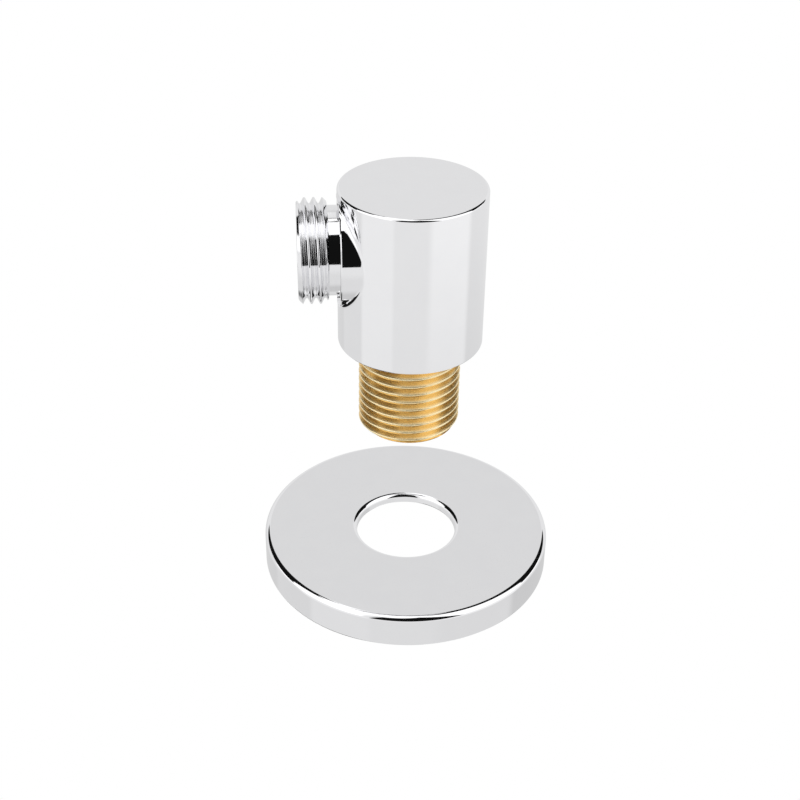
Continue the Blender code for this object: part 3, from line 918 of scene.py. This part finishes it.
def retaining_clip():
    """Open steel ring in the outlet's bore, with an eye at each end for pliers."""
    outer = (CLIP_HIGH.z - CLIP_LOW.z) / 2
    thickness = CLIP_HIGH.x - CLIP_LOW.x
    width = 0.0012
    opening = math.radians(50)
    eye_radius = 0.00085
    eye_hole = 0.0004
    eye_step = 0.00002
    eye_clearance = 0.00025
    eye_lead = 0.06
    eye_turned_steps = 40
    eye_half = thickness / 2 + eye_step
    inner = outer - width
    eye_track = outer - eye_radius - eye_clearance
    steps = 96
    half = opening / 2
    angles = [half + (2 * math.pi - opening) * step / steps for step in range(steps + 1)]

    curve = bpy.data.curves.new("retaining_clip", "CURVE")
    curve.dimensions = "2D"
    curve.fill_mode = "BOTH"
    curve.bevel_depth = 0.00004
    curve.bevel_resolution = 2
    curve.offset = -curve.bevel_depth
    curve.extrude = thickness / 2 - curve.bevel_depth

    def add_loop(points):
        line = curve.splines.new("POLY")
        line.points.add(len(points) - 1)
        line.use_cyclic_u = True
        for point, (x, y) in zip(line.points, points):
            point.co = (x, y, 0.0, 1.0)

    ring = [(outer * math.cos(angle), outer * math.sin(angle)) for angle in angles]
    ring += [(inner * math.cos(angle), inner * math.sin(angle)) for angle in angles[::-1]]
    add_loop(ring)
    made = bpy.data.objects.new("retaining_clip", curve)
    bpy.context.scene.collection.objects.link(made)
    graph = bpy.context.evaluated_depsgraph_get()
    mesh = bpy.data.meshes.new_from_object(made.evaluated_get(graph))
    bpy.data.objects.remove(made)
    clip = bpy.data.objects.new("retaining_clip", mesh)
    bpy.context.scene.collection.objects.link(clip)

    for side in (-1, 1):
        angle = side * (half + eye_lead)
        spot = Vector((eye_track * math.cos(angle), eye_track * math.sin(angle), 0.0))
        corners = [
            (eye_radius, eye_half),
            (eye_radius, -eye_half),
            (eye_hole, -eye_half),
            (eye_hole, eye_half),
        ]
        eye = turn(new_skin(), outline(corners, 0.00005), eye_turned_steps)
        bmesh.ops.translate(eye, vec=spot, verts=eye.verts)
        hole_corners = [
            (0.0, thickness),
            (eye_hole, thickness),
            (eye_hole, -thickness),
            (0.0, -thickness),
        ]
        strokes = [straight(a, b) for a, b in zip(hole_corners, hole_corners[1:])]
        hole = turn(new_skin(), strokes, eye_turned_steps)
        bmesh.ops.translate(hole, vec=spot, verts=hole.verts)
        boolean(clip, plain_object("hole", hole), "DIFFERENCE")
        boolean(clip, plain_object("eye", eye), "UNION")
    middle = -(CLIP_LOW.x + CLIP_HIGH.x) / 2
    clip.data.transform(ON_OUTLET @ Matrix.Translation((0, 0, middle)))
    use_plain_normals(clip.data)
    finish_piece(clip, STEEL, "elbow", "check_valve_clip")


# ----------------------------------------------------------------------------- escutcheon
def wall_rose():
    """Chromed pressed cup with rolled edges and a hole turned down into a short collar."""
    top = ROSE_HIGH.z
    back = ROSE_LOW.z
    rim = ROSE_RADIUS
    edge = ROSE_TOP_EDGE
    hole = ROSE_HOLE_RADIUS
    lip = ROSE_HOLE_EDGE
    collar = top - ROSE_COLLAR
    roll = ROLLED_EDGE
    bm = turn(new_skin(), [
        straight((hole + lip, top), (rim - edge, top)),
        rounded((rim - edge, top - edge), edge, 90, 0, 16),
        straight((rim, top - edge), (rim, back + roll)),
        rounded((rim - roll, back + roll), roll, 0, -90),
        straight((rim - roll, back), (rim - SHEET + roll, back)),
        rounded((rim - SHEET + roll, back + roll), roll, -90, -180),
        straight((rim - SHEET, back + roll), (rim - SHEET, top - edge)),
        rounded((rim - edge, top - edge), edge - SHEET, 0, 90),
        straight((rim - edge, top - SHEET), (hole + lip, top - SHEET)),
        rounded((hole + lip, top - lip), lip - SHEET, 90, 180),
        straight((hole + SHEET, top - lip), (hole + SHEET, collar + roll)),
        rounded((hole + SHEET - roll, collar + roll), roll, 0, -90),
        straight((hole + SHEET - roll, collar), (hole + roll, collar)),
        rounded((hole + roll, collar + roll), roll, -90, -180),
        straight((hole, collar + roll), (hole, top - lip)),
        rounded((hole + lip, top - lip), lip, 180, 90, 16),
    ])
    made = plain_object("wall_rose", bm)
    made.visible_glossy = False
    finish_piece(made, CHROME, "escutcheon", "escutcheon")


def foam_seal():
    """Foam ring inside the rose, with soft edges."""
    outer = GASKET_HIGH.x
    width = 0.003
    inner = outer - width
    corners = [
        (outer, GASKET_HIGH.z),
        (outer, GASKET_LOW.z),
        (inner, GASKET_LOW.z),
        (inner, GASKET_HIGH.z),
    ]
    bm = turn(new_skin(), outline(corners, 0.0004))
    made = plain_object("foam_seal", bm)
    made.visible_glossy = False
    finish_piece(made, FOAM, "escutcheon", "escutcheon_gasket")


# --------------------------------------------------------------------------------- studio
CAMERA_PLACE = (-0.0245, -0.2451, 0.1450)
CAMERA_HEADING = math.radians(5.285)
CAMERA_PITCH = math.radians(33.08)
CAMERA_ROLL = math.radians(1.05)
CAMERA_LENS = 63.0


def camera():
    """Long lens from the front, above, and a little to the outlet's side."""
    lens = bpy.data.cameras.new("camera")
    lens.lens = CAMERA_LENS
    lens.sensor_width = 36.0
    lens.clip_start = 0.01
    made = bpy.data.objects.new("camera", lens)
    heading = Matrix.Rotation(-CAMERA_HEADING, 4, "Z")
    pitch = Matrix.Rotation(math.pi / 2 - CAMERA_PITCH, 4, "X")
    roll = Matrix.Rotation(CAMERA_ROLL, 4, "Z")
    made.matrix_world = Matrix.Translation(CAMERA_PLACE) @ heading @ pitch @ roll
    bpy.context.scene.collection.objects.link(made)
    bpy.context.scene.camera = made


class Studio:
    """World light that depends only on the direction: soft boxes, flags and a pale table."""

    def __init__(self):
        world = bpy.data.worlds.new("studio")
        bpy.context.scene.world = world
        world.use_nodes = True
        self.tree = world.node_tree
        self.tree.nodes.clear()
        direction = self.tree.nodes.new("ShaderNodeTexCoord").outputs["Generated"]
        split = self.tree.nodes.new("ShaderNodeSeparateXYZ")
        self.tree.links.new(direction, split.inputs[0])
        turned = self.math("ARCTAN2", split.outputs["X"], split.outputs["Y"])
        degrees = self.math("MULTIPLY", turned, math.degrees(1))
        heading = math.degrees(CAMERA_HEADING)
        self.azimuth = self.math("WRAP", self.math("SUBTRACT", degrees, heading), 180, -180)
        self.front_azimuth = self.math(
            "WRAP", self.math("SUBTRACT", degrees, heading + 180), 180, -180
        )
        height = self.math("ARCSINE", split.outputs["Z"])
        self.elevation = self.math("MULTIPLY", height, math.degrees(1))
        self.light = None

    def math(self, operation, *values):
        """A math node on numbers and sockets."""
        node = self.tree.nodes.new("ShaderNodeMath")
        node.operation = operation
        for socket, value in zip(node.inputs, values):
            if isinstance(value, (int, float)):
                socket.default_value = value
            else:
                self.tree.links.new(value, socket)
        return node.outputs[0]

    def step(self, value, edge, soft):
        """Smooth step from 0 below the edge to 1 above it."""
        node = self.tree.nodes.new("ShaderNodeMapRange")
        node.interpolation_type = "SMOOTHSTEP"
        self.tree.links.new(value, node.inputs["Value"])
        if isinstance(edge, (int, float)):
            node.inputs["From Min"].default_value = edge - soft
            node.inputs["From Max"].default_value = edge + soft
        else:
            self.tree.links.new(self.math("SUBTRACT", edge, soft), node.inputs["From Min"])
            self.tree.links.new(self.math("ADD", edge, soft), node.inputs["From Max"])
        return node.outputs["Result"]

    def background(self, light):
        """The light where no card is."""
        self.light = self.math("ADD", light, 0.0)

    def slanted(self, start, slope, value):
        """A card's limit that changes with another coordinate."""
        return self.math("MULTIPLY_ADD", value, slope, start)

    def between(self, value, limits, soft):
        """1 between two limits, 0 outside them."""
        above = self.step(value, limits[0], soft)
        over = self.step(value, limits[1], soft)
        return self.math("MULTIPLY", above, self.math("SUBTRACT", 1.0, over))

    def card(self, azimuths, elevations, light, soft=1.0, in_front=False):
        """Lay a card of even light over a range of directions, in degrees.

        Azimuth 0 is straight behind the object as the camera sees it, and 90 is to the
        right. With in_front, azimuth 0 is towards the camera, and 90 is to the left.
        A limit or the light may be a socket. With azimuths of None it goes all round.
        """
        cover = self.between(self.elevation, elevations, soft)
        if azimuths:
            around = self.front_azimuth if in_front else self.azimuth
            cover = self.math("MULTIPLY", cover, self.between(around, azimuths, soft))
        change = self.math("MULTIPLY", cover, self.math("SUBTRACT", light, self.light))
        self.light = self.math("ADD", self.light, change)

    def dim(self, factor):
        """Multiply all the light laid so far by a socket."""
        self.light = self.math("MULTIPLY", self.light, factor)

    def graded(self, low, low_light, high, high_light):
        """A light that changes evenly between two elevations."""
        node = self.tree.nodes.new("ShaderNodeMapRange")
        self.tree.links.new(self.elevation, node.inputs["Value"])
        node.inputs["From Min"].default_value = low
        node.inputs["From Max"].default_value = high
        node.inputs["To Min"].default_value = low_light
        node.inputs["To Max"].default_value = high_light
        return node.outputs["Result"]

    def finish(self):
        """Plain white for the camera, and the cards for everything else."""
        cards = self.tree.nodes.new("ShaderNodeBackground")
        self.tree.links.new(self.light, cards.inputs["Strength"])
        white = self.tree.nodes.new("ShaderNodeBackground")
        white.inputs["Color"].default_value = (1, 1, 1, 1)
        seen = self.tree.nodes.new("ShaderNodeLightPath").outputs["Is Camera Ray"]
        choice = self.tree.nodes.new("ShaderNodeMixShader")
        output = self.tree.nodes.new("ShaderNodeOutputWorld")
        cards.inputs["Color"].default_value = (1, 1, 1, 1)
        self.tree.links.new(seen, choice.inputs["Fac"])
        self.tree.links.new(cards.outputs[0], choice.inputs[1])
        self.tree.links.new(white.outputs[0], choice.inputs[2])
        self.tree.links.new(choice.outputs[0], output.inputs["Surface"])


WHITE = 1.25
BLACK = 0.006
LOW_BLACK = 0.01


def studio():
    """White boxes overhead and at the sides, black flags behind and in front, pale table."""
    light = Studio()
    light.background(0.85)
    # pale table below the horizon, uneven round the object and duller close to it
    light.card((-60, 0), (-60, 0), 0.74, 12.0)
    light.card((-98, -50), (-60, 0), 0.80, 4.0)
    light.card((0, 84), (-60, 0), light.graded(-38, 0.70, -26, 0.82), 6.0)
    light.card((-152, -98), (-75, 0), light.graded(-38, 0.875, -30, 0.915), 4.0)
    light.card((84, 152), (-75, 0), light.graded(-38, 0.83, -26, 0.96), 7.0)
    light.dim(light.graded(-40, 0.92, -25, 1.0))
    light.card(None, (-95, -75), 0.62, 10.0)
    # bright cards far below: they light the brass by way of the body's lower face
    light.card((-75, -40), (-82, -67), WHITE, 2.5)
    light.card((30, 95), (-83, -60), WHITE, 3.0)
    # side boxes
    light.card((-150, -70), (0, 70), WHITE, 2.0)
    light.card((60, 150), (0, 75), WHITE, 2.0)
    # big box overhead
    light.card(None, (58, 95), WHITE, 1.0)
    # black flags behind: their lower edge falls away to both sides
    aside = light.math("SUBTRACT", light.math("ABSOLUTE", light.azimuth), 20)
    lower_edge = light.math("MAXIMUM", light.slanted(35, -0.62, aside), 13.5)
    left_side = light.slanted(-97, 0.42, light.elevation)
    left_top = light.slanted(56, -0.1, light.azimuth)
    light.card((left_side, -3), (lower_edge, left_top), BLACK, 0.8)
    right_side = light.slanted(90, -0.35, light.elevation)
    light.card((2, right_side), (lower_edge, 78), BLACK, 0.8)
    # white gap between the flags, and the grey panel below it
    gap_side = light.slanted(27.3, -0.75, light.elevation)
    light.card((gap_side, 2), (42.3, 95), WHITE, 0.8)
    light.card((-4.6, 4.6), (-20, 31), 0.806, 0.4)
    light.card((-8.0, 8.2), (30, 42.4), light.graded(27, 0.806, 34, 0.758), 0.4)
    light.card((-3.2, 2.4), (42.4, 64), 0.86, 0.4)
    light.card((-3.5, 3.5), (64, 66), 0.05, 0.4)
    # black flag in front, round the camera, with its top edge rising to the right
    front_left = light.slanted(-40, 0.22, light.elevation)
    front_right = light.slanted(24, -0.1, light.elevation)
    front_top = light.slanted(60, -0.6, light.front_azimuth)
    light.card((front_left, front_right), (-10, front_top), BLACK, 0.8, in_front=True)
    # flags low on both sides: the left ones are black and show under the boss
    low_side = light.slanted(-74.6, -0.95, light.elevation)
    light.card((-134, low_side), (-68, -47.5), LOW_BLACK, 1.5)
    light.card((-134, -52), (-77, -66), LOW_BLACK, 1.5)
    light.card((38, 64), (-57, -46), 0.3, 2.0)
    light.finish()


def floor():
    """Pale floor that only the camera sees, from above."""
    size = 3.0
    bm = bmesh.new()
    bmesh.ops.create_grid(bm, x_segments=1, y_segments=1, size=size)
    mesh = bpy.data.meshes.new("floor")
    bm.to_mesh(mesh)
    bm.free()
    made = bpy.data.objects.new("floor", mesh)
    made.location.z = CAD_BOX[0].z
    bpy.context.scene.collection.objects.link(made)

    finish = bpy.data.materials.new("pale_floor")
    finish.use_nodes = True
    tree = finish.node_tree
    tree.nodes.clear()
    pale = tree.nodes.new("ShaderNodeEmission")
    pale.inputs["Color"].default_value = (1, 1, 1, 1)
    clear = tree.nodes.new("ShaderNodeBsdfTransparent")
    under = tree.nodes.new("ShaderNodeNewGeometry").outputs["Backfacing"]
    choice = tree.nodes.new("ShaderNodeMixShader")
    output = tree.nodes.new("ShaderNodeOutputMaterial")
    tree.links.new(under, choice.inputs["Fac"])
    tree.links.new(pale.outputs[0], choice.inputs[1])
    tree.links.new(clear.outputs[0], choice.inputs[2])
    tree.links.new(choice.outputs[0], output.inputs["Surface"])
    mesh.materials.append(finish)
    made.visible_glossy = False
    made.visible_diffuse = False
    made.visible_transmission = False
    made.visible_shadow = False


# ----------------------------------------------------------------------------- everything
body_casting()
brass_nipple()
hose_nipple()
seal_rings()
valve_sleeve()
valve_guide()
valve_poppet()
valve_spring()
retaining_clip()
wall_rose()
foam_seal()
floor()
studio()
camera()
bpy.context.scene.view_settings.view_transform = "Standard"
